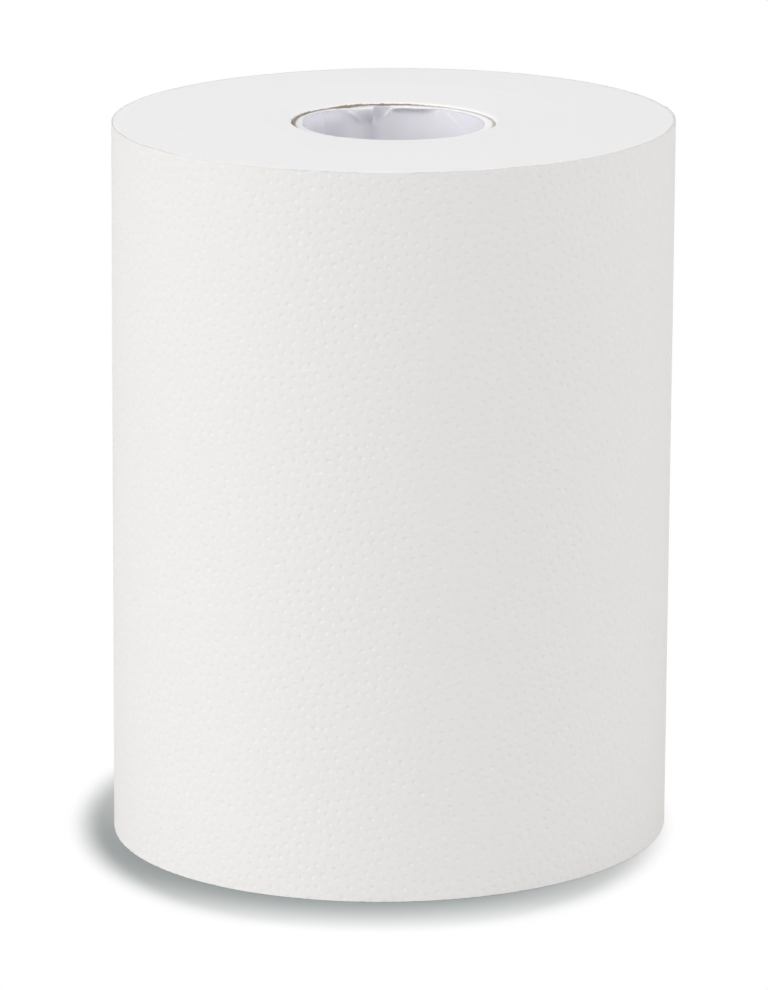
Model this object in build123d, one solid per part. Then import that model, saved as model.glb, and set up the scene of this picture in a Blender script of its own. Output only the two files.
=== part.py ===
"""A paper towel roll stood on its end: the wound web and the two plies of its core."""
import os
from math import cos, pi, radians, sin

from build123d import *

# Driving dimensions of the wound web, in millimetres and degrees
roll_height = 200.0
roll_radius = 77.0
roll_ovality = 0.0244
oval_long_axis = 45.0
rim_softness = 0.8
top_dish_depth = 0.5
top_dish_margin = 24.0
tail_step = 0.4
tail_angle = 15.0

# Turn marks: the spiral seam between turns that shows on both cut ends
turn_mark_pitch = 10.6
turn_mark_width = 0.35
turn_mark_depth = 0.25
turn_mark_margin = 3.2

# Driving dimensions of the core
bore_radius = 25.0
liner_thickness = 2.35
outer_ply_thickness = 0.45
core_top_recess = 1.4
core_bottom_recess = 0.6

# Top stretch of the core: drawn in a little from the paper, and dented at the back left
loose_length = 24.0
loose_gap = 0.12
loose_taper = 1.5
dent_depth = 1.7
dent_angle = 108.0
dent_roundness = 46.0

# How many points or steps each curve has
outline_points = 36
arcs_per_turn = 6
rim_steps = 2

# Worked out from the driving dimensions
core_radius = bore_radius + liner_thickness + outer_ply_thickness
core_top = roll_height - core_top_recess
loose_start = core_top - loose_length
overshoot = 1.0


def spot(radius, angle, z):
    """The point at a radius and an angle round the roll's axis."""
    return Vector(radius * cos(radians(angle)), radius * sin(radians(angle)), z)


def oval_factor(radius, angle):
    """How far a turn is out of round: nothing at the core, most at the last turn."""
    share = (radius / roll_radius) ** 2
    return 1 + roll_ovality * share * cos(radians(2 * (angle - oval_long_axis)))


def web_outline(inset, z):
    """The last turn from above: one lap of a spiral, closed by the step at the web's tail."""
    lap_points = []
    for i in range(outline_points + 1):
        lap = i / outline_points
        angle = tail_angle + 360 * lap
        radius = roll_radius * oval_factor(roll_radius, angle) + tail_step * (lap - 0.5)
        lap_points.append(spot(radius - inset, angle, z))
    lap_edge = Edge.make_spline(lap_points)
    tail_edge = Edge.make_line(lap_points[-1], lap_points[0])
    return Face(Wire([lap_edge, tail_edge]))


def wound_body():
    """The solid winding with its two cut edges worn round."""
    rim = []
    for i in range(rim_steps + 1):
        turn = pi / 2 * i / rim_steps
        rim.append((rim_softness * (1 - sin(turn)), rim_softness * (1 - cos(turn))))
    sections = [web_outline(inset, rise) for inset, rise in rim]
    sections += [web_outline(inset, roll_height - rise) for inset, rise in reversed(rim)]
    return loft(sections, ruled=True)


def top_dish():
    """The shallow funnel in the top end, flat near the rim and deepest at the core."""
    inner, outer = bore_radius, roll_radius - top_dish_margin
    low, lid = roll_height - top_dish_depth, roll_height + overshoot
    profile = Polyline((outer, roll_height), (inner, low), (inner, lid), (outer, lid), close=True)
    return revolve(Plane.XZ * make_face(profile), Axis.Z)


def turn_mark(z):
    """The spiral seam between turns as a thin flat band of arcs, from the core out to the rim."""
    turns = (roll_radius - core_radius - 2 * turn_mark_margin) / turn_mark_pitch
    arcs = round(turns * arcs_per_turn)

    def seam_point(turn, offset):
        radius = core_radius + turn_mark_margin + turn_mark_pitch * turn
        angle = tail_angle + 360 * turn
        return spot(radius * oval_factor(radius, angle) + offset, angle, z)

    half = turn_mark_width / 2
    last = arcs / arcs_per_turn
    edges = [Edge.make_line(seam_point(turn, -half), seam_point(turn, half)) for turn in (0, last)]
    for offset in (-half, half):
        for i in range(arcs):
            three = [seam_point((i + share) / arcs_per_turn, offset) for share in (0, 0.5, 1)]
            edges.append(Edge.make_three_point_arc(*three))
    return Face(Wire(edges))


def top_groove():
    """The seam cut into the top end, its floor running parallel to the dish."""
    band = extrude(turn_mark(roll_height - 2 * overshoot), 3 * overshoot, dir=(0, 0, 1))
    floor = Pos(0, 0, roll_height - 1.5 * overshoot) * Cylinder(roll_radius, 3 * overshoot) - top_dish()
    return band - Pos(0, 0, -turn_mark_depth) * floor


def bottom_groove():
    """The seam cut into the flat bottom end."""
    return extrude(turn_mark(-overshoot), overshoot + turn_mark_depth, dir=(0, 0, 1))


def upright(radius, low, high):
    """A plain round column between two heights."""
    return Pos(0, 0, (low + high) / 2) * Cylinder(radius, high - low)


def core_column(radius, low, high):
    """A round column that narrows in the loose stretch, where a leaning larger round trims the dent."""
    taper_end = loose_start + loose_taper
    column = upright(radius, low, loose_start) + upright(radius - loose_gap, taper_end, high)
    column += Pos(0, 0, (loose_start + taper_end) / 2) * Cone(radius, radius - loose_gap, loose_taper)
    pressed_radius = dent_roundness - (core_radius - radius)
    foot = spot(radius - pressed_radius, dent_angle, loose_start)
    lean = spot(-dent_depth, dent_angle, loose_length)
    return column & Plane(origin=foot, z_dir=lean) * Cylinder(pressed_radius, 3 * roll_height)


def towel_roll():
    """The whole web as one solid: winding, tail, dished top, turn marks and the hole for the core."""
    hole = upright(core_radius, -overshoot, roll_height + overshoot)
    return wound_body() - top_dish() - top_groove() - bottom_groove() - hole


def core_ply(inner_radius, thickness):
    """One ply of the core, a tube that follows the dent at its top."""
    outside = core_column(inner_radius + thickness, core_bottom_recess, core_top)
    inside = core_column(inner_radius, core_bottom_recess - overshoot, core_top + overshoot)
    return outside - inside


os.makedirs("parts", exist_ok=True)
nodes = {
    "towel_roll": towel_roll(),
    "core_outer_ply": core_ply(bore_radius + liner_thickness, outer_ply_thickness),
    "core_liner": core_ply(bore_radius, liner_thickness),
}
for name, solid in nodes.items():
    export_step(solid, f"parts/{name}.step")
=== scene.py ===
"""A paper towel roll stood on its end: embossed sheets, a wound web with cut ends, and a two-ply board core."""

from math import atan2, ceil, cos, degrees, exp, hypot, pi, radians, sin, sqrt

import bmesh
import bpy
import numpy as np
from bpy.props import FloatProperty, FloatVectorProperty, IntProperty, PointerProperty
from mathutils import Matrix, Vector, noise
from mathutils.geometry import delaunay_2d_cdt


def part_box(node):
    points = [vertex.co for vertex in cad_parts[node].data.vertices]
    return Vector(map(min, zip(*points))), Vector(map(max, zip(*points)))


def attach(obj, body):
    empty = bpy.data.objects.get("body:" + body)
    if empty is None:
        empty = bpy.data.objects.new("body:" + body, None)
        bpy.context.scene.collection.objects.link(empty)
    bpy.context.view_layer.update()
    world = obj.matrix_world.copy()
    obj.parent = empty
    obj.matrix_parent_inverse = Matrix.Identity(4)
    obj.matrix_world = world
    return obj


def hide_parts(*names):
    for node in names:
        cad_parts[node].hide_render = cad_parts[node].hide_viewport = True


bl_info = {
    "name": "Paper towel roll",
    "version": (1, 0, 0),
    "blender": (4, 5, 0),
    "location": "3D View > Sidebar > Towel roll",
    "description": "Builds an embossed paper towel roll with its board core around the packed solids",
    "category": "Add Mesh",
}

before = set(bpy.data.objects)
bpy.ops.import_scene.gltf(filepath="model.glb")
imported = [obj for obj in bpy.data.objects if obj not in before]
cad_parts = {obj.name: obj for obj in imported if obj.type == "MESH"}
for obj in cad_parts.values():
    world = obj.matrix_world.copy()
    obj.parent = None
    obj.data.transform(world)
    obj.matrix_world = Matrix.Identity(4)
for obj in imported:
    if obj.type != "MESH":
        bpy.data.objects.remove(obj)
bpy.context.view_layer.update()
ROLL_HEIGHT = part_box("towel_roll")[1].z
CORE_LOW, CORE_TOP = (corner.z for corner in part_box("core_liner"))

MM = 0.001
MERGE_DISTANCE = 1e-6
SAME_POINT = 1e-7
GOLDEN_ANGLE = pi * (3 - sqrt(5))

# The sheets' UV map, and what the finishes read from the meshes
SHEET_UV = "sheet"
PIT = "pit"
CUT = "cut"
CRUSHED_AND_SHADED = "crushed_and_shaded"

# How finely the web, the sheets' backs and the core are divided
WEB_STEPS, WEB_RINGS, WEB_ROWS, MOUTH_RINGS = 360, 60, 14, 6
BACK_STRIP = 6 * MM
CORE_STEPS, CORE_ROWS, LOOSE_ROWS = 480, 12, 34

# How the dimples are evened out: how often, and how hard two that crowd push each other away
EVENING_ROUNDS = 60
EVENING_PUSH = 0.5 * MM

# The top end stops sinking at this radius, and the hole in it has one more row of corners this far down
DISH_BOTTOM = 25 * MM
HOLE_ROW = 3 * MM

# The turns' marks on the web's cut ends: the spiral's lead, their size, and the bands and rings in the finish
TURN_LEAD = 2 * MM
TURN_MARK = 0.0021
BANDS_PER_METRE, TURNS_PER_METRE = 450, 3600

# How near to an end of the web, or of the core, a corner counts as being on it
WEB_END = 1 * MM
CORE_END = 0.05 * MM

# The floor's half width, and how far it lies under the roll
FLOOR_REACH = 6
FLOOR_DROP = 0.05 * MM

# Small turns of the camera off the roll's middle, in degrees
CAMERA_PAN, CAMERA_TILT, CAMERA_ROLL = 0.0661, -0.1925, -0.3617

# Creases seen on the front: place along the sheet, height, length and rise, all in millimetres
CREASES = ((165, 146, 18, -3), (161, 118, 18, -2), (125, 104, 13, -3), (97, 116, 24, -5), (120, 62, 24, -6),
           (123, 126, 8, -2))

# What the top of the core does at angles round it, in degrees, drawn from one to the next: how far its wall
# is dented, how far its rim is crumpled in on the left and curled in on the right of the fold, where its
# lining is torn away or worn back at the rim, and how far the torn brown ply stands over it
DENT = ((84, 0), (104, 1), (138, 0.12), (139.5, 0))
CRUMPLE = ((103.2, 0), (105, 1), (115, 0.65), (122, 0.15), (127, 0))
CURL = ((63, 0), (70, 0.5), (75, 0.68), (87, 0.74), (90, 0.7), (91, 0))
TORN = ((90.6, 0), (91.6, 1), (99.4, 1), (100.4, 0))
WORN = ((124, 0), (132, 1), (162, 1), (174, 0))
PLY = ((40, 0.02), (66, 0.10), (85, 0.22), (101, 0.27), (111, 0.36), (122, 0.34), (131, 0.12), (145, 0.10),
       (150, 0.32), (172, 0.36), (186, 0.26), (200, 0.02))

# How grey the inside of the core is painted at angles round it: painted shade, most on the left, some on the
# right and beside the dent's fold, partly the crushed board's own grey in the dent
CRUSH_AND_SHADE = ((0, 0.18), (25, 0.21), (55, 0.18), (75, 0.06), (84, 0), (98, 0), (104, 0.42), (108, 0.22), (112, 0.02),
         (120, 0), (128, 0.42), (133, 0.52), (138, 0.58), (139.2, 0.46), (155, 0.48), (165, 0.62), (180, 0.66),
         (200, 0.2))

# Folds in the wall under the rim: angle at the rim, turn of the angle per millimetre down, where it starts and
# ends under the rim, its width in degrees, and its height in millimetres
FOLDS = ((105, 0.2, 0, 4.5, 1.2, 0.35), (90.8, 2.1, 0, 3.6, 1.1, 0.30), (122.5, -2.6, 0.8, 4.6, 1.8, 0.30),
         (138.7, -0.25, 0, 11, 0.9, 0.12), (60.5, 2.6, 0.1, 1.0, 0.8, -0.18), (52.5, 2.6, 0.1, 1.1, 0.8, -0.18))


# Sizes and colours in the sidebar


def length(name, description, millimetres):
    """A size, written here in millimetres."""
    return FloatProperty(name=name, description=description, default=millimetres * MM, min=0, precision=5,
                         unit="LENGTH", subtype="DISTANCE")


def turn_angle(name, description, in_degrees):
    """An angle, written here in degrees."""
    return FloatProperty(name=name, description=description, default=radians(in_degrees), unit="ROTATION",
                         subtype="ANGLE")


def plain_number(name, description, value):
    """A number without a unit."""
    return FloatProperty(name=name, description=description, default=value, precision=4)


def step_along(name, description, across, up):
    """A step over the flat sheet, written here in millimetres."""
    return FloatVectorProperty(name=name, description=description, default=(across * MM, up * MM), size=2,
                               unit="LENGTH", subtype="XYZ")


def colour(name, description, value):
    """A colour."""
    return FloatVectorProperty(name=name, description=description, default=value, size=3, min=0, max=1,
                               subtype="COLOR")


class RollSizes(bpy.types.PropertyGroup):
    """The wound web and the sheets of its last turn"""
    radius: length("Radius", "Mean radius of the roll", 77.0)
    ovality: plain_number("Ovality", "How far the roll is out of round, as a share of its radius", 0.0244)
    oval_axis: turn_angle("Long axis", "Where the roll is widest", 45.0)
    tail: turn_angle("Tail", "Where the web ends", 15.0)
    tail_step: length("Tail step", "How far the last turn stands over the one below", 0.4)
    sheet_length: length("Sheet length", "From the tail to the first perforation", 280.0)
    perforation: length("Perforation", "Half the width of the slit between two sheets", 0.06)
    sheet_thickness: length("Sheet thickness", "Thickness of one embossed sheet", 0.35)
    dish_depth: length("Dish depth", "How far the top sinks towards the core", 0.5)
    dish_radius: length("Dish radius", "Where the top starts to sink", 53.0)
    bore_radius: length("Hole radius", "Radius of the hole wound round the core", 27.8)
    rim: length("Rim", "How far the cut edge of the last turn is worn round", 0.3)
    mouth: length("Mouth", "How far from the core the first turns are pushed down", 1.4)
    mouth_drop: length("Mouth drop", "How far the first turns are pushed down", 1.0)


class EmbossSizes(bpy.types.PropertyGroup):
    """The embossing of the paper"""
    repeat: IntProperty(name="Dimples", description="How many dimples one repeat has", default=80)
    repeat_right: step_along("Repeat right", "From one repeat to the next on the right", 14.87, 21.54)
    repeat_left: step_along("Repeat left", "From one repeat to the next on the left", -19.13, 17.35)
    spacing: length("Spacing", "Dimples closer than this push each other away", 4.2)
    radius: length("Dimple radius", "Radius of a dimple at its rim", 1.02)
    floor_radius: length("Dimple floor", "Radius of a dimple's floor", 0.56)
    depth: length("Dimple depth", "How far a dimple's floor lies under the sheet", 0.13)
    hollow: length("Dimple hollow", "How much deeper the middle of the floor is", 0.015)


class CoreSizes(bpy.types.PropertyGroup):
    """The board core"""
    bore: length("Bore radius", "Inner radius of the core", 25.0)
    liner: length("Liner", "Thickness of the white liner", 2.35)
    ply: length("Outer ply", "Thickness of the brown outer ply", 0.45)
    loose_length: length("Loose stretch", "How far down the core stands off the paper and is dented", 24.0)
    loose_gap: length("Loose gap", "How far the core stands off the paper there", 0.12)
    dent: length("Dent", "How far the wall is pushed in at the top", 1.0)
    crumple: length("Crumple", "How far the rim is crumpled in beside its fold", 2.1)
    seam_lead: length("Seam lead", "How far the liner's spiral seam climbs in one turn", 92.0)


class Finishes(bpy.types.PropertyGroup):
    """Colours of the paper and board"""
    paper: colour("Paper", "Embossed side of the sheet", (0.765, 0.750, 0.736))
    cut_paper: colour("Cut paper", "Cut ends of the web", (0.929, 0.917, 0.920))
    white_board: colour("White board", "Liner of the core", (0.923, 0.915, 0.961))
    # Painted shade, partly the crushed board's own grey: the dark lilac painted round the bore, in the dent and
    # over the torn pocket
    crushed_shaded_board: colour("Crushed board", "Where the liner is dented or torn", (0.50, 0.493, 0.552))
    cut_board: colour("Cut board", "Cut edge of the liner", (0.985, 0.98, 0.985))
    kraft: colour("Kraft board", "Outer ply of the core", (0.325, 0.27, 0.22))
    # Painted light: the paler kraft painted towards the right of the ply
    lit_kraft: colour("Worn kraft board", "Outer ply where white fibres cling to it", (0.72, 0.66, 0.60))


class StageSizes(bpy.types.PropertyGroup):
    """Floor, lamps and camera"""
    sky: plain_number("Sky", "Mean strength of the light from all round", 0.542)
    sky_front: plain_number("Sky in front", "How much stronger it is from the front", 0.382)
    key: plain_number("Key lamp", "Strength of the lamp at the left", 1.575)
    fill: plain_number("Fill lamp", "Strength of the low lamp at the right", 1.217)
    lens: plain_number("Lens", "Focal length in millimetres", 235.07)
    distance: length("Camera distance", "From the middle of the roll to the camera", 1792.13)
    elevation: turn_angle("Camera elevation", "How far the camera looks down", 13.861)


# Shaping


def oval(angle, radius):
    """How far a turn is out of round: nothing at the axis, most at the last turn."""
    roll = bpy.context.scene.towel_roll
    return 1 + roll.ovality * (radius / roll.radius) ** 2 * cos(2 * (angle - roll.oval_axis))


def finished(bm, name, material, smooth=True):
    """The piece's object, at the origin, from its bmesh."""
    for face in bm.faces:
        face.smooth = smooth
    mesh = bpy.data.meshes.new(name)
    bm.to_mesh(mesh)
    bm.free()
    piece = bpy.data.objects.new(name, mesh)
    bpy.context.scene.collection.objects.link(piece)
    mesh.materials.append(material)
    return piece


def face_outwards(bm):
    """Turns every face of a closed shape outwards."""
    bm.normal_update()
    bmesh.ops.recalc_face_normals(bm, faces=bm.faces)


def everything(bm):
    """All corners, edges and faces of a bmesh."""
    return bm.verts[:] + bm.edges[:] + bm.faces[:]


def soft_step(low, high, value):
    """0 below low, 1 above high, and smooth between."""
    share = min(max((value - low) / (high - low), 0), 1)
    return share * share * (3 - 2 * share)


def hump(value, middle, width):
    """1 at the middle, and soon 0 to both sides of it."""
    return exp(-((value - middle) / width) ** 2)


def grain(x, y, z, size):
    """Smooth seeded noise from -1 to 1, with bumps of about that size."""
    return noise.noise(Vector((x, y, z)) / size)


# Finishes


class Number:
    """A socket in a material, with sums written as they are on paper: each one adds its Math node."""

    def __init__(self, finish, socket):
        self.finish, self.socket = finish, socket

    def sum(self, operation, *terms):
        """Adds the Math node of one sum."""
        return self.finish.node("ShaderNodeMath", {"operation": operation}, terms)

    def __add__(self, other):
        return self.sum("ADD", self, other)

    def __sub__(self, other):
        return self.sum("SUBTRACT", self, other)

    def __mul__(self, other):
        return self.sum("MULTIPLY", self, other)

    def __truediv__(self, other):
        return self.sum("DIVIDE", self, other)

    def __radd__(self, other):
        return self.sum("ADD", other, self)

    def __rsub__(self, other):
        return self.sum("SUBTRACT", other, self)

    def __rmul__(self, other):
        return self.sum("MULTIPLY", other, self)

    def __rtruediv__(self, other):
        return self.sum("DIVIDE", other, self)

    def __abs__(self):
        return self.sum("ABSOLUTE", self)


class Finish:
    """A material, or the sky, being made one node at a time."""

    def __init__(self, name, kept_in="materials"):
        self.made = getattr(bpy.data, kept_in).new(name)
        self.made.use_nodes = True
        self.tree = self.made.node_tree
        self.tree.nodes.clear()

    def node(self, kind, settings=None, values=None, output=0):
        """Adds a node, sets it, feeds its sockets with values or links, and gives one of its outputs."""
        made = self.tree.nodes.new(kind)
        for name, setting in (settings or {}).items():
            setattr(made, name, setting)
        pairs = values.items() if isinstance(values, dict) else enumerate(values or ())
        for key, value in pairs:
            if isinstance(value, Number):
                self.tree.links.new(value.socket, made.inputs[key])
            else:
                made.inputs[key].default_value = value
        return Number(self, made.outputs[output]) if made.outputs else None

    def noise(self, place, size, detail, roughness=0.5):
        """Noise from 0 to 1 with bumps of about that size in metres."""
        return self.node("ShaderNodeTexNoise", {}, {"Vector": place, "Scale": 1 / size, "Detail": detail,
                                                    "Roughness": roughness})

    def rings(self, radius, per_metre, detail):
        """Noise from 0 to 1 that changes only with the distance from the axis."""
        return self.node("ShaderNodeTexNoise", {"noise_dimensions": "1D"},
                         {"W": radius, "Scale": per_metre, "Detail": detail})

    def ramp(self, value, low, high):
        """0 where the value is low, 1 where it is high, and smooth between."""
        return self.node("ShaderNodeMapRange", {"interpolation_type": "SMOOTHSTEP"},
                         {"Value": value, "From Min": low, "From Max": high})

    def mix(self, share, first, second):
        """A colour between two colours."""
        return self.node("ShaderNodeMix", {"data_type": "RGBA"}, {0: share, 6: first, 7: second}, 2)

    def dot(self, place, direction):
        """How far a place lies along a direction."""
        return self.node("ShaderNodeVectorMath", {"operation": "DOT_PRODUCT"}, (place, direction), 1)

    def reach(self, place):
        """How far a place is from the origin."""
        return self.node("ShaderNodeVectorMath", {"operation": "LENGTH"}, (place,), 1)

    def stretched(self, place, factors):
        """Places multiplied axis by axis."""
        return self.node("ShaderNodeVectorMath", {"operation": "MULTIPLY"}, (place, factors))

    def moved(self, place, step):
        """Places measured from a point that lies a step back from the origin."""
        return self.node("ShaderNodeVectorMath", {"operation": "ADD"}, (place, step))

    def own_place(self):
        """Where a point is on its own piece."""
        return self.node("ShaderNodeTexCoord", {}, output="Object")

    def value_of(self, attribute):
        """A number kept in the mesh."""
        return self.node("ShaderNodeAttribute", {"attribute_name": attribute}, output="Fac")

    def bump(self, height_in_mm, strength):
        """Surface direction from a height in millimetres."""
        return self.node("ShaderNodeBump", {}, {"Strength": strength, "Distance": MM, "Height": height_in_mm})

    def either(self, share, first, second):
        """One shader where the share is 0, and the other where it is 1."""
        return self.node("ShaderNodeMixShader", {}, {0: share, 1: first, 2: second})

    def seen_rays(self):
        """1 for rays from the camera, and for those that shiny or clear things send on."""
        camera, glossy, through = (self.node("ShaderNodeLightPath", {}, output=name)
                                   for name in ("Is Camera Ray", "Is Glossy Ray", "Is Transmission Ray"))
        return camera + glossy + through

    def finished(self, base_colour, roughness, normal, specular):
        """Ends a paper or board finish, and gives its material."""
        shader = self.node("ShaderNodeBsdfPrincipled", {}, {"Base Color": base_colour, "Roughness": roughness,
                                                            "Normal": normal, "Specular IOR Level": specular})
        self.node("ShaderNodeOutputMaterial", {}, {"Surface": shader})
        return self.made


def rgba(value):
    """A colour from the sidebar as a socket takes it."""
    return (*value, 1.0)


def toned(value, factor):
    """A colour made lighter or darker."""
    return (*(min(part * factor, 1.0) for part in value), 1.0)


def grey(level):
    """A neutral colour."""
    return (level, level, level, 1)


def embossed_paper():
    """The face of a sheet: soft fibres, fine crepe across the web, dimples painted a little paler as painted
    light against the shade in them, and a few sharp creases with a painted highlight along them.
    """
    colours = bpy.context.scene.finishes
    f = Finish("embossed_paper")
    place = f.node("ShaderNodeUVMap", {"uv_map": SHEET_UV})
    cloud = f.noise(place, 35 * MM, 2)
    fibre = f.noise(f.stretched(place, (1, 0.45, 1)), 1.2 * MM, 4, 0.6)
    crepe = f.noise(f.stretched(place, (1, 0.12, 1)), 0.45 * MM, 2, 0.5)
    crease = 0
    for along, height, reach, rise in CREASES:
        run = Vector((reach, rise, 0)).normalized()
        from_middle = f.moved(place, Vector((-along, -height, 0)) * MM)
        lengthways = f.dot(from_middle, run)
        bow = 7 * lengthways * lengthways
        across = f.dot(from_middle, (-run.y, run.x, 0)) + 0.4 * MM * (crepe - 0.5) + bow
        ends = 1 - f.ramp(abs(lengthways), 0.15 * reach * MM, 0.5 * reach * MM)
        crease = crease + ends * (1 - f.ramp(abs(across), 0, 0.45 * MM))
    base = f.mix(cloud, toned(colours.paper, 0.993), toned(colours.paper, 1.005))
    base = f.mix(f.ramp(fibre, 0.35, 0.75) * 0.4, base, toned(colours.paper, 0.99))
    # Painted light: the dimples' floors are painted a little paler, against the shade in them.
    base = f.mix(f.ramp(f.value_of(PIT), 0, 0.7), base, toned(colours.paper, 1.003))
    # Painted highlight: the creases are painted lighter along their ridges.
    base = f.mix(crease * 0.5, base, toned(colours.paper, 1.05))
    height = fibre * 0.003 + crepe * 0.005 + crease * 0.05
    return f.finished(base, 0.86 + 0.1 * fibre, f.bump(height, 0.6), 0.15)


def cut_end_paper():
    """The cut ends of the web: its turns' edges, too fine to tell apart, with faint bands where it is tighter,
    and painted light: lighter towards the left front and darker towards the right back.
    """
    colours = bpy.context.scene.finishes
    f = Finish("cut_end_paper")
    place = f.own_place()
    radius = f.reach(f.stretched(place, (1, 1, 0)))
    band = f.rings(radius, BANDS_PER_METRE, 3)
    turns = f.rings(radius, TURNS_PER_METRE, 2)
    fluff = f.noise(place, 0.9 * MM, 4, 0.6)
    cloud = f.noise(place, 30 * MM, 2)
    # Painted light: the cut ends are painted lighter towards the left front and darker towards the right back.
    side = f.ramp(f.dot(place, (-0.85, -0.5, 0)), -80 * MM, 80 * MM)
    base = f.mix(side, toned(colours.cut_paper, 0.973), toned(colours.cut_paper, 1.012))
    base = f.mix(cloud * 0.4, base, toned(colours.cut_paper, 0.98))
    base = f.mix(f.ramp(band, 0.35, 0.75) * 0.3, base, toned(colours.cut_paper, 0.965))
    base = f.mix(f.ramp(turns, 0.4, 0.8) * 0.3, base, toned(colours.cut_paper, 0.95))
    height = band * 0.03 + turns * 0.015 + fluff * 0.03
    return f.finished(base, 0.9, f.bump(height, 0.5), 0.12)


def white_board():
    """The liner: smooth lilac-white board painted grey as painted shade round the bore and over the torn pocket,
    partly the crushed board's own grey, with a whiter and rougher cut edge painted darker towards the left as
    painted shade.
    """
    colours = bpy.context.scene.finishes
    f = Finish("white_board")
    place = f.own_place()
    fibre = f.noise(f.stretched(place, (1, 1, 0.3)), 1.1 * MM, 4, 0.6)
    cloud = f.noise(place, 12 * MM, 3)
    # Painted shade: the liner is painted towards the dark crushed colour round the bore and over the torn pocket
    base = f.mix(f.value_of(CRUSHED_AND_SHADED), rgba(colours.white_board), rgba(colours.crushed_shaded_board))
    base = f.mix(cloud * 0.5, base, toned(colours.white_board, 0.93))
    base = f.mix(f.ramp(fibre, 0.4, 0.8) * 0.25, base, toned(colours.white_board, 0.92))
    # Painted shade: the cut edge is painted darker towards the left, with a little fibre in it.
    painted_edge_shade = 0.12 * f.ramp(f.dot(place, (-1, 0, 0)), -2 * MM, 12 * MM) + 0.03 * fibre
    base = f.mix(f.value_of(CUT), base, f.mix(painted_edge_shade, rgba(colours.cut_board), grey(0)))
    height = fibre * 0.025 + cloud * 0.05
    return f.finished(base, 0.7 + 0.15 * fibre, f.bump(height, 0.6), 0.3)


def kraft_board():
    """The outer ply of the core: brown recycled board, flecked with paler fibres, and painted paler towards the
    right as painted light, its left and back left dark as painted shade.
    """
    colours = bpy.context.scene.finishes
    f = Finish("kraft_board")
    place = f.own_place()
    fibre = f.noise(f.stretched(place, (1, 1, 0.35)), 0.8 * MM, 5, 0.65)
    fleck = f.noise(place, 2.5 * MM, 3)
    base = f.mix(fibre, toned(colours.kraft, 0.75), toned(colours.kraft, 1.35))
    base = f.mix(f.ramp(fleck, 0.58, 0.72) * 0.5, base, toned(colours.kraft, 1.9))
    # Painted light: the ply is painted paler towards the right, so its left and back stay darker as painted
    # shade.
    worn = f.ramp(f.dot(place, (1, 0, 0)), 4 * MM, 16 * MM)
    base = f.mix(worn * (0.55 + 0.5 * fleck), base, rgba(colours.lit_kraft))
    return f.finished(base, 0.9, f.bump(fibre * 0.05 + fleck * 0.03, 0.8), 0.2)


# Embossed sheets


def dimple_centres():
    """The dimples of one repeat: a golden-angle spiral, evened out until none of them crowd."""
    emboss = bpy.context.scene.emboss
    sides = np.array([emboss.repeat_right[:], emboss.repeat_left[:]])
    area_each = abs(np.linalg.det(sides)) / emboss.repeat
    number = np.arange(emboss.repeat)
    reach = np.sqrt((number + 0.5) * area_each / pi)
    points = reach[:, None] * np.c_[np.cos(GOLDEN_ANGLE * number), np.sin(GOLDEN_ANGLE * number)]
    neighbours = [i * sides[0] + j * sides[1] for i in (-1, 0, 1) for j in (-1, 0, 1)]
    for _ in range(EVENING_ROUNDS):
        shares = points @ np.linalg.inv(sides)
        points = (shares - np.floor(shares)) @ sides
        around = np.vstack([points + step for step in neighbours])
        apart = points[:, None] - around[None]
        distance = np.hypot(apart[..., 0], apart[..., 1])
        distance[distance < MERGE_DISTANCE] = np.inf
        push = np.clip(1 - distance / emboss.spacing, 0, None) / distance
        points = points + EVENING_PUSH * (apart * push[..., None]).sum(1)
    return points, sides


def dimples_over(start, end):
    """All dimples between two distances along the sheet, with a margin round them."""
    emboss = bpy.context.scene.emboss
    points, sides = dimple_centres()
    margin = 2 * emboss.spacing
    along, up = (start - margin, end + margin), (-margin, ROLL_HEIGHT + margin)
    corners = np.array([(x, z) for x in along for z in up])
    shares = corners @ np.linalg.inv(sides)
    low, high = np.floor(shares.min(0)).astype(int) - 1, np.ceil(shares.max(0)).astype(int) + 1
    spread = np.vstack([points + i * sides[0] + j * sides[1]
                        for i in range(low[0], high[0]) for j in range(low[1], high[1])])
    inside = ((spread > (along[0], up[0])) & (spread < (along[1], up[1]))).all(1)
    return spread[inside]


def dimpled_flat(start, end):
    """A flat sheet with a corner at each dimple, opened to a rim and sunk to a hollow floor."""
    emboss = bpy.context.scene.emboss
    points = [Vector(point) for point in dimples_over(start, end)]
    corners, _, faces, *_ = delaunay_2d_cdt(points, [], [], 0, SAME_POINT)
    bm = bmesh.new()
    centres = [bm.verts.new((corner.x, corner.y, 0)) for corner in corners]
    for face in faces:
        bm.faces.new([centres[i] for i in face])
    bm.normal_update()
    if sum(face.normal.z for face in bm.faces) < 0:
        bmesh.ops.reverse_faces(bm, faces=bm.faces)

    inner = [vert for vert in bm.verts if not vert.is_boundary]
    opened = bmesh.ops.bevel(bm, geom=inner, offset=emboss.radius, offset_type="OFFSET", segments=1,
                             profile=0.5, affect="VERTICES", material=-1)
    rims = [face for face in opened["faces"] if face.is_valid]
    slope = emboss.radius - emboss.floor_radius
    bmesh.ops.inset_individual(bm, faces=rims, thickness=slope, depth=-emboss.depth)
    bmesh.ops.poke(bm, faces=rims, offset=-emboss.hollow)
    return bm


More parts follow.
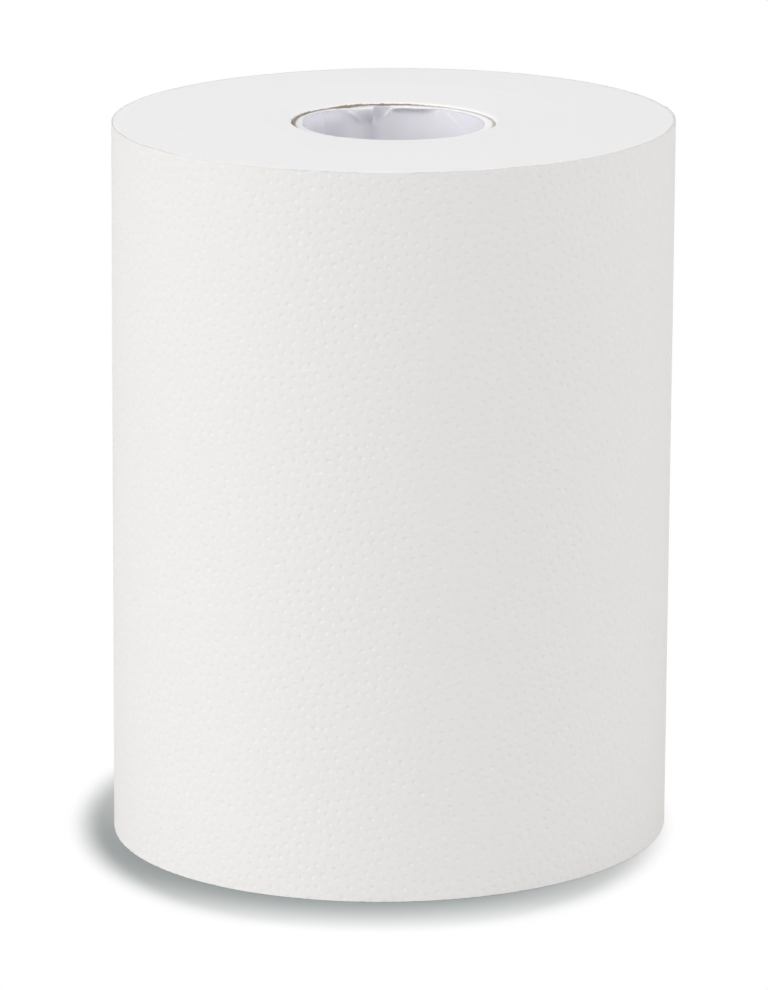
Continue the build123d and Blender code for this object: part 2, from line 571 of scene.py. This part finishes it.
def trim_to_size(bm, start, end):
    """Cuts the flat sheet to its length and height, with rows of edges where its cut edges are worn round."""
    rim = bpy.context.scene.towel_roll.rim
    for place, beyond in (((start, 0, 0), (-1, 0, 0)), ((end, 0, 0), (1, 0, 0)),
                          ((0, 0, 0), (0, -1, 0)), ((0, ROLL_HEIGHT, 0), (0, 1, 0))):
        bmesh.ops.bisect_plane(bm, geom=everything(bm), plane_co=place, plane_no=beyond, clear_outer=True)
    for z in (rim, ROLL_HEIGHT - rim, 0.3 * rim, ROLL_HEIGHT - 0.3 * rim):
        bmesh.ops.bisect_plane(bm, geom=everything(bm), plane_co=(0, z, 0), plane_no=(0, 1, 0))
    bmesh.ops.remove_doubles(bm, verts=bm.verts, dist=MERGE_DISTANCE)


def give_back(bm, start, end):
    """Gives the flat sheet its cut edges and a flat back, in strips narrow enough to be wrapped."""
    thickness = bpy.context.scene.towel_roll.sheet_thickness
    pit = bm.verts.layers.float[PIT]

    def on_back(part):
        return all(abs(vert.co.z + thickness) < MERGE_DISTANCE for vert in part.verts)

    rim_edges = [edge for edge in bm.edges if edge.is_boundary]
    hem = bmesh.ops.extrude_edge_only(bm, edges=rim_edges)["geom"]
    for vert in (part for part in hem if isinstance(part, bmesh.types.BMVert)):
        vert.co.z = -thickness
        vert[pit] = 0
    back_edges = [part for part in hem if isinstance(part, bmesh.types.BMEdge) and on_back(part)]
    back = bmesh.ops.contextual_create(bm, geom=back_edges)["faces"]
    strips = ceil((end - start) / BACK_STRIP)
    for i in range(1, strips):
        place = start + (end - start) * i / strips
        geometry = back + [part for face in back for part in (*face.verts, *face.edges)]
        cut = bmesh.ops.bisect_plane(bm, geom=list(set(geometry)), plane_co=(place, 0, 0), plane_no=(1, 0, 0))
        back = [part for part in cut["geom"] if isinstance(part, bmesh.types.BMFace) and on_back(part)]
    bmesh.ops.triangulate(bm, faces=[face for face in bm.faces if len(face.verts) > 4])
    face_outwards(bm)


def lap_angle(along):
    """The share of the last turn, and the angle, of a distance from the tail."""
    roll = bpy.context.scene.towel_roll
    lap = 1 - along / (2 * pi * roll.radius)
    return lap, roll.tail + 2 * pi * lap


def wrapped(along, z, over):
    """A point of the flat sheet, at a distance from the tail, at its place round the roll."""
    roll = bpy.context.scene.towel_roll
    lap, angle = lap_angle(along)
    to_edge = min(z, ROLL_HEIGHT - z)
    worn = roll.rim - sqrt(max(roll.rim ** 2 - max(roll.rim - to_edge, 0) ** 2, 0))
    radius = roll.radius * oval(angle, roll.radius) + roll.tail_step * (lap - 0.5) + over - 0.6 * worn
    return radius * cos(angle), radius * sin(angle), z


def wrapped_direction(vert):
    """Where the surface faces at a corner of the flat sheet, its widest faces first, once it is wrapped."""
    flat = sum((face.normal * face.calc_area() ** 2 for face in vert.link_faces), Vector())
    angle = lap_angle(vert.co.x)[1]
    round_roll = Matrix(((sin(angle), 0, cos(angle)), (-cos(angle), 0, sin(angle)), (0, 1, 0)))
    return (round_roll @ flat).normalized()


def sheet_part(name, start, end, material):
    """A sheet of the last turn between two distances from the tail: dimpled flat, made thick, then wrapped."""
    emboss = bpy.context.scene.emboss
    bm = dimpled_flat(start, end)
    trim_to_size(bm, start, end)
    pit = bm.verts.layers.float.new(PIT)
    for vert in bm.verts:
        vert[pit] = min(max(-vert.co.z / (emboss.depth + emboss.hollow), 0), 1)
        vert.co.z += 0.03 * MM * grain(vert.co.x, vert.co.y, 0, 0.03)
    give_back(bm, start, end)

    uv = bm.loops.layers.uv.new(SHEET_UV)
    for face in bm.faces:
        for loop in face.loops:
            loop[uv].uv = loop.vert.co.xy
    directions = [wrapped_direction(vert) for vert in bm.verts]
    for vert in bm.verts:
        vert.co = wrapped(*vert.co)
    face_outwards(bm)
    piece = finished(bm, name, material)
    piece.data.normals_split_custom_set_from_vertices(directions)
    return piece


# Wound web


def spun(profile, steps):
    """A closed outline of (radius, height) points turned once round the axis."""
    bm = bmesh.new()
    points = [bm.verts.new((radius, 0, z)) for radius, z in profile]
    edges = [bm.edges.new((points[i - 1], points[i])) for i in range(len(points))]
    bmesh.ops.spin(bm, geom=points + edges, cent=(0, 0, 0), axis=(0, 0, 1), dvec=(0, 0, 0), angle=2 * pi,
                   steps=steps, use_merge=True)
    bmesh.ops.remove_doubles(bm, verts=bm.verts, dist=MERGE_DISTANCE)
    return bm


def turn_start(radius, angle):
    """How far from the axis the turn through a point starts, as the turns run outwards in a spiral."""
    return radius - TURN_LEAD * angle / (2 * pi)


def top_height(angle, radius):
    """Height of the top end over a point: the dish, the uneven turns, the fan of creases and the fine streaks."""
    roll = bpy.context.scene.towel_roll
    turn = degrees(angle) % 360
    to_core = (roll.dish_radius - radius) / (roll.dish_radius - DISH_BOTTOM)
    behind = soft_step(-0.4, 0.6, sin(angle))
    height = -(roll.dish_depth + 0.4 * MM * behind) * max(to_core, 0)
    inwards = min(max((roll.bore_radius + roll.mouth - radius) / roll.mouth, 0), 1)
    height -= roll.mouth_drop * (1 - 0.55 * behind) * (1 - sqrt(1 - inwards ** 2))
    inner = soft_step(roll.bore_radius, roll.bore_radius + 4 * MM, radius)
    outer = 1 - soft_step(roll.radius - 6 * MM, roll.radius - 1 * MM, radius)
    height += 0.045 * MM * grain(turn_start(radius, angle), 0, 0, TURN_MARK) * inner * (0.3 + 0.7 * outer)
    height += 0.05 * MM * grain(radius * cos(angle), radius * sin(angle), 3, 0.014)
    fan = hump(turn, 90, 17) * soft_step(30 * MM, 36 * MM, radius)
    rib = 90 + 9 * sin((radius - 30 * MM) / (30 * MM))
    height += fan * 0.10 * MM * hump(turn, rib, 3.5) - fan * 0.04 * MM
    return height


def frayed_gap(angle):
    """How far the innermost turn stands off the core at the top: most at the left end, ragged all round."""
    left = hump(degrees(angle) % 360, 176, 14)
    ragged = 0.06 * MM * (1 + grain(cos(angle), sin(angle), 0, 0.05))
    return ragged + 0.30 * MM * left * (0.8 + 0.5 * grain(cos(angle), sin(angle), 2, 0.03))


def web_body(material):
    """The wound web under its last turn, with both cut ends and the hole for the core."""
    roll = bpy.context.scene.towel_roll
    outside, hole = roll.radius - roll.tail_step, roll.bore_radius
    flat = outside - hole - roll.mouth
    end_rings = [hole + roll.mouth * i / MOUTH_RINGS for i in range(MOUTH_RINGS)]
    end_rings += [hole + roll.mouth + flat * i / WEB_RINGS for i in range(WEB_RINGS + 1)]
    rows = [ROLL_HEIGHT * i / WEB_ROWS for i in range(1, WEB_ROWS)]
    profile = [(radius, ROLL_HEIGHT) for radius in end_rings] + [(outside, z) for z in reversed(rows)]
    profile += [(radius, 0) for radius in reversed(end_rings)] + [(hole, z) for z in rows]
    profile.append((hole, ROLL_HEIGHT - HOLE_ROW))
    bm = spun(profile, WEB_STEPS)
    for vert in bm.verts:
        radius, angle, z = hypot(vert.co.x, vert.co.y), atan2(vert.co.y, vert.co.x), vert.co.z
        lap = ((angle - roll.tail) / (2 * pi)) % 1
        outermost = (radius / roll.radius) ** 12
        grown = radius * oval(angle, radius) + roll.tail_step * (lap - 0.5) * outermost
        if z > ROLL_HEIGHT - WEB_END:
            z += top_height(angle, radius)
            grown += frayed_gap(angle) * (1 - soft_step(hole, hole + roll.mouth, radius))
        elif z < WEB_END and radius > hole + 0.1 * MM:
            z += 0.03 * MM * (1 + grain(turn_start(radius, angle), 5, 0, TURN_MARK))
        vert.co = (grown * cos(angle), grown * sin(angle), z)
    face_outwards(bm)
    return finished(bm, "wound_web", material)


# Core


def at_turn(angle, stations):
    """The value at an angle, drawn from one station to the next."""
    return float(np.interp(degrees(angle) % 360, *zip(*stations)))


def torn_away(turn, down):
    """The pocket beside the fold where the inside is torn away: 1 at its rim, and 0 where it runs out."""
    right = soft_step(91 + 2.1 * down, 92 + 2.1 * down, turn)
    left = 1 - soft_step(102 + 0.5 * down, 103 + 0.5 * down, turn)
    return right * left * max(1 - down / 4.5, 0)


def pushed_in(angle, under_top):
    """How far the inside of the core is pushed in: dent, crumpled rim, curled lip, and the folds between them."""
    core = bpy.context.scene.core
    turn, down = degrees(angle) % 360, under_top / MM
    total = core.dent * at_turn(angle, DENT) * max(1 - under_top / core.loose_length, 0)
    total += core.crumple * at_turn(angle, CRUMPLE) * hump(down, 0, 3.2)
    total += core.crumple * at_turn(angle, CURL) * hump(down, 0, 0.9)
    total -= 0.8 * core.liner * torn_away(turn, down)
    total -= 0.45 * core.liner * at_turn(angle, WORN) * hump(down, 0, 2)
    for at_rim, twist, start, end, width, height in FOLDS:
        reach = soft_step(start - 0.5, start, down) * (1 - soft_step(0.5 * end, end, down))
        total += height * MM * reach * hump(turn, at_rim + twist * down, width)
    return total


def rim_height(angle, lined):
    """How the top edge of the core rises and falls, and how far the torn ply stands over the liner."""
    turn = degrees(angle) % 360
    around = cos(angle), sin(angle)
    height = 0.10 * MM * grain(*around, 0, 0.22) + 0.07 * MM * grain(*around, 7, 0.05)
    height -= 0.30 * MM * hump(turn, 182, 7)
    if lined:
        height += 0.10 * MM * grain(*around, 3, 0.02) - 0.10 * MM * at_turn(angle, TORN)
        return height - 0.25 * MM * hump(turn, 118, 8)
    ply = at_turn(angle, PLY)
    ragged = grain(*around, 11, 0.035) + grain(*around, 5, 0.014)
    return height + (0.06 + ply + 0.7 * ply * ragged) * MM


def seam_step(angle, z):
    """How far the liner's bore steps back at its spiral seam, and stands proud just before it."""
    lead = bpy.context.scene.core.seam_lead
    past_seam = (z / lead - angle / (2 * pi)) % 1 * lead
    return 0.10 * MM * exp(-(past_seam / (1.2 * MM))) - 0.05 * MM * exp(-((lead - past_seam) / (2 * MM)))


def core_tube(name, inner, outer, material, lined):
    """One ply of the core: a tube with a crumpled top. The liner's bore has the spiral seam of its strip."""
    core = bpy.context.scene.core
    loose_from = CORE_TOP - core.loose_length
    rows = [CORE_LOW + (loose_from - CORE_LOW) * i / CORE_ROWS for i in range(CORE_ROWS)]
    rows += [CORE_TOP - core.loose_length * (1 - i / LOOSE_ROWS) ** 1.7 for i in range(LOOSE_ROWS + 1)]
    across = [inner + (outer - inner) * share for share in (0.1, 0.35, 0.7)]
    profile = [(inner, z) for z in rows] + [(radius, CORE_TOP) for radius in across]
    profile += [(outer, z) for z in reversed(rows)] + [(radius, CORE_LOW) for radius in reversed(across)]
    bm = spun(profile, CORE_STEPS)
    edge, crushed_and_shaded = bm.verts.layers.float.new(CUT), bm.verts.layers.float.new(CRUSHED_AND_SHADED)
    for vert in bm.verts:
        radius, angle, z = hypot(vert.co.x, vert.co.y), atan2(vert.co.y, vert.co.x), vert.co.z
        under_top = CORE_TOP - z
        on_top, on_bottom = under_top < CORE_END, z < CORE_LOW + CORE_END
        inwards = (outer - radius) / (outer - inner) if lined else 0.0
        on_bore = lined and inwards > 0.99
        slanted = angle - radians(5.5) * inwards if on_top else angle
        vert[edge] = (1 - at_turn(slanted, TORN)) * on_top + on_bottom
        # Painted shade: the grey share painted at each angle round the bore, and over the torn pocket
        vert[crushed_and_shaded] = max(at_turn(angle, CRUSH_AND_SHADE), torn_away(degrees(angle) % 360, under_top / MM) ** 0.5)
        radius -= soft_step(loose_from - 1.5 * MM, loose_from, z) * core.loose_gap
        if z >= loose_from:
            radius -= pushed_in(angle, under_top) * inwards
        if on_bore:
            radius += seam_step(angle, z)
        share = soft_step(0, 3 * MM, 3 * MM - under_top)
        worn = 0.14 * MM * (on_bore and on_top)
        vert.co = (radius * cos(angle), radius * sin(angle), z + rim_height(angle, lined) * share - worn)
    face_outwards(bm)
    return finished(bm, name, material)


# Stage


def pale_floor():
    """A white floor with a painted shadow of the roll: deepest at its foot in front and at the left, and soon run
    out. The light it sends back onto the roll is painted darker near the foot, as painted shade.
    """
    f = Finish("pale_floor")
    place = f.own_place()
    from_foot = f.reach(place)
    from_shadow = f.moved(place, (5 * MM, 0, 0))
    front_left = f.ramp(f.dot(place, (-0.45, -0.89, 0)) / from_foot, -0.6, 0.9)
    # Painted shadow: the floor the camera sees is painted darker round the roll's foot, most in front and at the
    # left.
    painted_contact_shadow = (1 - f.ramp(f.reach(from_shadow), 73 * MM, 114 * MM)) * (0.2 + 0.8 * front_left)
    run_out = f.ramp(f.reach(f.stretched(from_shadow, (1, 0.76, 1))), 75 * MM, 86 * MM)
    # Painted shade: the floor that lights the roll is painted darker near its foot.
    painted_foot_shade = 1 - f.ramp(from_foot, 75 * MM, 160 * MM)
    shade = f.mix(painted_contact_shadow, grey(0.985), (0.25, 0.28, 0.28, 1))
    shown = f.node("ShaderNodeBsdfDiffuse", {}, {"Color": shade})
    glow = f.node("ShaderNodeEmission", {}, {"Color": grey(1), "Strength": 0.075})
    shadowed = f.node("ShaderNodeAddShader", {}, (shown, glow))
    bare = f.node("ShaderNodeEmission", {}, {"Color": grey(1), "Strength": 1})
    lit = f.node("ShaderNodeBsdfDiffuse", {}, {"Color": f.mix(painted_foot_shade, grey(0.81), grey(0.72))})
    shader = f.either(f.seen_rays(), lit, f.either(run_out, shadowed, bare))
    from_under = f.node("ShaderNodeNewGeometry", {}, output="Backfacing")
    camera = f.node("ShaderNodeLightPath", {}, output="Is Camera Ray")
    clear = f.node("ShaderNodeBsdfTransparent", {}, {"Color": grey(1)})
    f.node("ShaderNodeOutputMaterial", {}, {"Surface": f.either(from_under * camera, shader, clear)})
    return f.made


def studio_sky():
    """Light from all round, stronger from the front; the camera sees it white."""
    stage = bpy.context.scene.stage
    f = Finish("studio_sky", "worlds")
    front = 0.5 + f.dot(f.node("ShaderNodeTexCoord"), (0, -0.5, 0))
    dim, bright, white = (f.node("ShaderNodeBackground", {}, {"Color": grey(1), "Strength": strength})
                          for strength in (stage.sky - stage.sky_front, stage.sky + stage.sky_front, 1))
    surface = f.either(f.seen_rays(), f.either(front, dim, bright), white)
    f.node("ShaderNodeOutputWorld", {}, {"Surface": surface})
    return f.made


def lamp(name, strength, azimuth, elevation, softness):
    """A soft lamp that shines on the roll from an azimuth and an elevation, all in degrees."""
    data = bpy.data.lights.new(name, "SUN")
    data.energy, data.angle = strength, radians(softness)
    light = bpy.data.objects.new(name, data)
    bpy.context.scene.collection.objects.link(light)
    a, e = radians(azimuth), radians(elevation)
    towards = Vector((cos(a) * cos(e), sin(a) * cos(e), sin(e)))
    light.rotation_mode = "QUATERNION"
    light.rotation_quaternion = towards.to_track_quat("Z", "Y")


def photo_camera():
    """The camera at the photograph's place and lens, with its small turns off the roll's middle."""
    stage = bpy.context.scene.stage
    data = bpy.data.cameras.new("camera")
    data.lens, data.sensor_width, data.sensor_fit = stage.lens, 36, "AUTO"
    data.clip_start, data.clip_end = 0.01, 50
    camera = bpy.data.objects.new("camera", data)
    bpy.context.scene.collection.objects.link(camera)
    back = Vector((0, -cos(stage.elevation), sin(stage.elevation)))
    forward, right = -back, Vector((1, 0, 0))
    up = right.cross(forward)
    pan = Matrix.Rotation(radians(CAMERA_PAN), 3, up)
    forward, right = pan @ forward, pan @ right
    tilt = Matrix.Rotation(radians(CAMERA_TILT), 3, right)
    forward, up = tilt @ forward, tilt @ up
    roll = Matrix.Rotation(radians(CAMERA_ROLL), 3, forward)
    right, up = roll @ right, roll @ up
    turned = Matrix((right, up, -forward)).transposed().to_4x4()
    place = back * stage.distance + Vector((0, 0, ROLL_HEIGHT / 2))
    camera.matrix_world = Matrix.Translation(place) @ turned
    return camera


# Operators


class MakeLastTurn(bpy.types.Operator):
    """Make the embossed last turn: the sheet at the tail and what shows of the sheet before it"""
    bl_idname = "towel_roll.make_last_turn"
    bl_label = "Last turn"

    def execute(self, context):
        roll = context.scene.towel_roll
        paper = embossed_paper()
        lap_length = 2 * pi * roll.radius
        tail_sheet = sheet_part("tail_sheet", 0, roll.sheet_length - roll.perforation, paper)
        next_sheet = sheet_part("next_sheet", roll.sheet_length + roll.perforation, lap_length, paper)
        for piece in (tail_sheet, next_sheet):
            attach(piece, "root")
            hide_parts("towel_roll")
        return {"FINISHED"}


class MakeWoundWeb(bpy.types.Operator):
    """Make the wound web with its two cut ends"""
    bl_idname = "towel_roll.make_wound_web"
    bl_label = "Wound web"

    def execute(self, context):
        web = web_body(cut_end_paper())
        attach(web, "root")
        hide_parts("towel_roll")
        return {"FINISHED"}


class MakeCore(bpy.types.Operator):
    """Make the two plies of the board core"""
    bl_idname = "towel_roll.make_core"
    bl_label = "Core"

    def execute(self, context):
        core = context.scene.core
        wall = core.bore + core.liner
        liner = core_tube("white_liner", core.bore, wall, white_board(), True)
        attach(liner, "root")
        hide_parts("core_liner")
        ply = core_tube("kraft_ply", wall, wall + core.ply, kraft_board(), False)
        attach(ply, "root")
        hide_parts("core_outer_ply")
        return {"FINISHED"}


class SetStage(bpy.types.Operator):
    """Set the floor, the lamps and the camera"""
    bl_idname = "towel_roll.set_stage"
    bl_label = "Stage"

    def execute(self, context):
        stage = context.scene.stage
        bm = bmesh.new()
        bmesh.ops.create_grid(bm, x_segments=1, y_segments=1, size=FLOOR_REACH)
        bmesh.ops.translate(bm, vec=(0, 0, -FLOOR_DROP), verts=bm.verts)
        floor = finished(bm, "floor", pale_floor(), smooth=False)
        context.scene.world = studio_sky()
        lamp("key_lamp", stage.key, azimuth=205, elevation=30, softness=60)
        lamp("fill_lamp", stage.fill, azimuth=0, elevation=20, softness=60)
        context.scene.camera = photo_camera()
        context.scene.view_settings.view_transform = "Standard"
        return {"FINISHED"}


class TowelRollPanel(bpy.types.Panel):
    """Lists the pieces of the towel roll and their sizes"""
    bl_idname = "VIEW3D_PT_towel_roll"
    bl_label = "Towel roll"
    bl_space_type = "VIEW_3D"
    bl_region_type = "UI"
    bl_category = "Towel roll"

    def draw(self, context):
        for operator in OPERATORS:
            self.layout.operator(operator.bl_idname)
        for name, group in SIZES.items():
            box = self.layout.box()
            box.label(text=group.__doc__)
            for prop in group.__annotations__:
                box.prop(getattr(context.scene, name), prop)


SIZES = {"towel_roll": RollSizes, "emboss": EmbossSizes, "core": CoreSizes, "finishes": Finishes,
         "stage": StageSizes}
OPERATORS = (MakeLastTurn, MakeWoundWeb, MakeCore, SetStage)


def register():
    for group in (*SIZES.values(), *OPERATORS, TowelRollPanel):
        bpy.utils.register_class(group)
    for name, group in SIZES.items():
        setattr(bpy.types.Scene, name, PointerProperty(type=group))


def unregister():
    for name in SIZES:
        delattr(bpy.types.Scene, name)
    for group in (TowelRollPanel, *OPERATORS, *SIZES.values()):
        bpy.utils.unregister_class(group)


def main():
    register()
    bpy.ops.towel_roll.make_last_turn()
    bpy.ops.towel_roll.make_wound_web()
    bpy.ops.towel_roll.make_core()
    bpy.ops.towel_roll.set_stage()
    bpy.context.view_layer.update()


if __name__ == "__main__":
    main()
